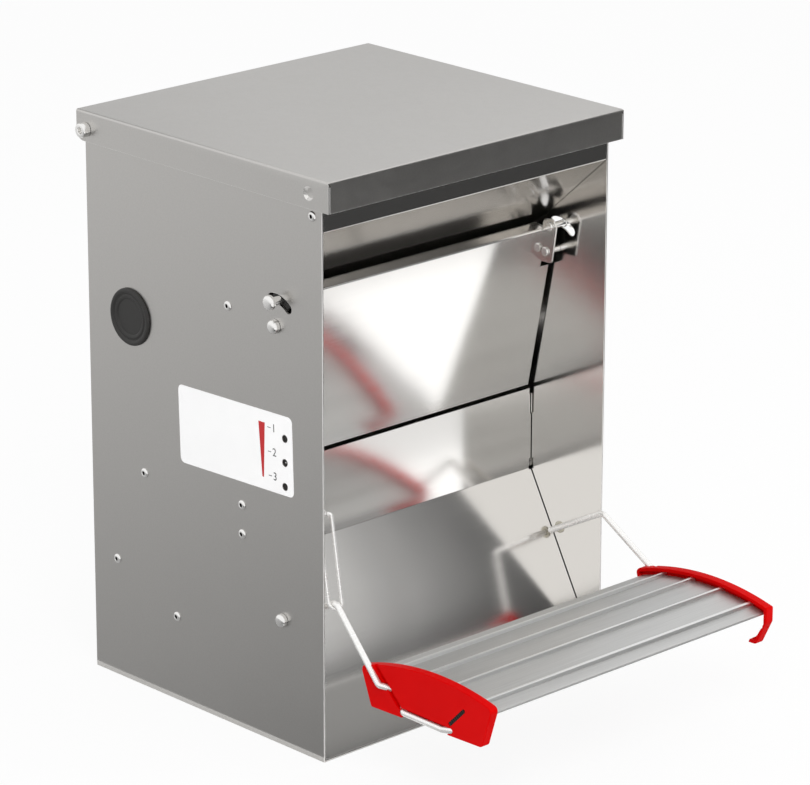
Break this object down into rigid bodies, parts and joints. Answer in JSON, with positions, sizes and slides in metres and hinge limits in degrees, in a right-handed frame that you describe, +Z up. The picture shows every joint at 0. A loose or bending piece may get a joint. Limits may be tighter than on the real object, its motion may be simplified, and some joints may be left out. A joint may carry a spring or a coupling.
{
  "type": "treadle poultry feeder",
  "caption": "Sheet steel duck feeder: a treadle on wire arms pulls a link rod that swings the feed door inwards, under a hinged lid.",
  "frame": {"origin": "centre of the housing's underside, on the floor that the feeder stands on", "axes": "+X to the right as seen from the front, +Y from the treadle's side towards the back panel, +Z up"},
  "size_m": [0.3588, 0.5078, 0.507],
  "materials": {
    "galvanised_sheet": "satin galvanised",
    "bright_inner_sheet": "bright, nearly mirror-like sheet",
    "zinc_plated_steel": "bright zinc plating",
    "zinc_plated_wire": "bright drawn wire",
    "brushed_aluminium": "brushed",
    "red_polypropylene": "moulded, satin",
    "black_polyethylene": "moulded, satin",
    "natural_nylon": "moulded"
  },
  "bodies": {
    "housing": {"side_panel_left": "galvanised_sheet", "side_panel_right": "galvanised_sheet", "back_panel": "galvanised_sheet", "hopper_front": "bright_inner_sheet", "trough_front": "bright_inner_sheet", "feed_floor": "bright_inner_sheet", "brace_plate": "galvanised_sheet", "base_plate": "galvanised_sheet", "filling_plug": "black_polyethylene", "return_spring": "zinc_plated_wire", "lid_hinge_screw_left": "zinc_plated_steel", "lid_hinge_screw_right": "zinc_plated_steel", "lid_hinge_spacer_left": "zinc_plated_steel", "lid_hinge_spacer_right": "zinc_plated_steel", "lid_hinge_nut_left": "zinc_plated_steel", "lid_hinge_nut_right": "zinc_plated_steel", "pivot_bush_left": "natural_nylon", "pivot_bush_right": "natural_nylon", "rivet_fascia_left": "zinc_plated_steel", "rivet_fascia_right": "zinc_plated_steel", "rivet_slope_left": "zinc_plated_steel", "rivet_slope_right": "zinc_plated_steel", "rivet_lip_upper_left": "zinc_plated_steel", "rivet_lip_upper_right": "zinc_plated_steel", "rivet_lip_lower_left": "zinc_plated_steel", "rivet_lip_lower_right": "zinc_plated_steel", "rivet_floor_left": "zinc_plated_steel", "rivet_floor_right": "zinc_plated_steel", "rivet_brace_front_left": "zinc_plated_steel", "rivet_brace_front_right": "zinc_plated_steel", "rivet_brace_rear_left": "zinc_plated_steel", "rivet_brace_rear_right": "zinc_plated_steel", "rivet_back_1_left": "zinc_plated_steel", "rivet_back_1_right": "zinc_plated_steel", "rivet_back_2_left": "zinc_plated_steel", "rivet_back_2_right": "zinc_plated_steel", "rivet_back_3_left": "zinc_plated_steel", "rivet_back_3_right": "zinc_plated_steel"},
    "lid": {"lid": "galvanised_sheet"},
    "door": {"feed_door": "bright_inner_sheet", "door_hinge_pin_left": "zinc_plated_steel", "door_hinge_pin_right": "zinc_plated_steel", "crank_pin_left": "zinc_plated_steel", "crank_pin_right": "zinc_plated_steel"},
    "treadle": {"treadle_platform": "brushed_aluminium", "treadle_cap_left": "red_polypropylene", "treadle_cap_right": "red_polypropylene", "treadle_arm_left": "zinc_plated_wire", "treadle_arm_right": "zinc_plated_wire", "pivot_cap_left": "zinc_plated_steel", "pivot_cap_right": "zinc_plated_steel"},
    "link": {"link_rod": "zinc_plated_wire"}
  },
  "joints": [
    {"name": "lid_hinge", "type": "hinge", "parent": "housing", "child": "lid", "pos_m": [0, 0.142, 0.4913], "axis": [-1, 0, 0], "range_deg": [0, 110]},
    {"name": "treadle_hinge", "type": "hinge", "parent": "housing", "child": "treadle", "pos_m": [0, -0.0987, 0.1137], "axis": [1, 0, 0], "range_deg": [0, 6.5], "stiffness_Nm_per_rad": 8, "springref_deg": -9.17, "deforming": ["return_spring"]},
    {"name": "door_hinge", "type": "hinge", "parent": "housing", "child": "door", "pos_m": [0, -0.092, 0.37], "axis": [1, 0, 0], "range_deg": [0, 28]},
    {"name": "link_hinge", "type": "hinge", "parent": "treadle", "child": "link", "pos_m": [-0.1576, -0.1564, 0.1427], "axis": [1, 0, 0], "range_deg": [-5, 0]}
  ],
  "couplings": [
    {"joint": "door_hinge", "follows": "treadle_hinge", "ratio": 4.2865},
    {"joint": "link_hinge", "follows": "treadle_hinge", "ratio": -0.7381}
  ]
}
